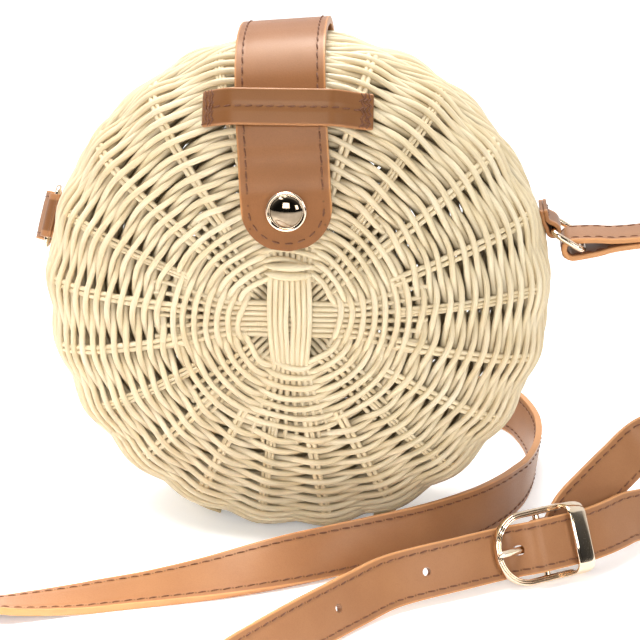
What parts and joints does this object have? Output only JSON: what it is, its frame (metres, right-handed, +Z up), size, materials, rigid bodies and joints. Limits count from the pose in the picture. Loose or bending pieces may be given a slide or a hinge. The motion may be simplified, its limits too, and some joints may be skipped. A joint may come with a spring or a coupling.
{
  "type": "round woven crossbody bag",
  "caption": "Round woven reed bag of two hinged domed halves, with a leather flap and snap, a keeper loop, wire side rings and a long buckled leather shoulder strap.",
  "frame": {"origin": "on the surface the bag stands on, under the middle of the basket, on the flat foot of the back half's border just behind the seam", "axes": "+Z up, +X to the bag's right as its flap is seen from the front, +Y to the back, away from the flap's snap"},
  "size_m": [0.3125, 0.3226, 0.1853],
  "materials": {
    "reed": "split reed, satin",
    "leather": "smooth tan, stitched",
    "gold_metal": "polished pale gold",
    "snap_steel": "plated"
  },
  "bodies": {
    "back_half": {"back_shell": "reed", "back_border": "reed", "back_cross": "reed", "flap_bridge": "leather", "hinge_straps": "leather", "left_tab": "leather", "right_tab": "leather", "strap_long": "leather", "strap_short": "leather", "buckle_frame": "gold_metal", "buckle_bar": "gold_metal"},
    "front_half": {"front_shell": "reed", "front_border": "reed", "front_cross": "reed", "keeper_loop": "leather", "strike_plate": "snap_steel", "backing_washer": "snap_steel"},
    "flap": {"flap_tongue": "leather", "snap_cap": "gold_metal", "snap_magnet": "snap_steel"},
    "left_ring": {"left_ring": "gold_metal"},
    "right_ring": {"right_ring": "gold_metal"},
    "prong": {"buckle_prong": "gold_metal"}
  },
  "joints": [
    {"name": "front_hinge", "type": "hinge", "parent": "back_half", "child": "front_half", "pos_m": [0, -0.00108, 0], "axis": [1, 0, 0], "range_deg": [0, 35], "deforming": ["hinge_straps", "strap_long"]},
    {"name": "flap_hinge", "type": "hinge", "parent": "back_half", "child": "flap", "pos_m": [-0.00484, -0.00108, 0.18412], "axis": [-0.9969, 0, -0.0785], "range_deg": [0, 140], "deforming": ["flap_tongue"]},
    {"name": "left_ring_swivel", "type": "hinge", "parent": "back_half", "child": "left_ring", "pos_m": [-0.09104, 0.00912, 0.10968], "axis": [-0.2034, -0.342, -0.9174], "range_deg": [-90, 0], "deforming": ["strap_long"]},
    {"name": "right_ring_swivel", "type": "hinge", "parent": "back_half", "child": "right_ring", "pos_m": [0.09104, 0.00912, 0.10968], "axis": [0, 1, 0], "range_deg": [-45, 40], "deforming": ["strap_short"]},
    {"name": "prong_pivot", "type": "hinge", "parent": "back_half", "child": "prong", "pos_m": [0.08802, -0.05352, 0.01237], "axis": [-0.2208, 0.3603, 0.9063], "range_deg": [0, 12], "deforming": ["strap_long", "strap_short"]}
  ],
  "couplings": [
    {"joint": "flap_hinge", "follows": "front_hinge", "ratio": 4}
  ]
}
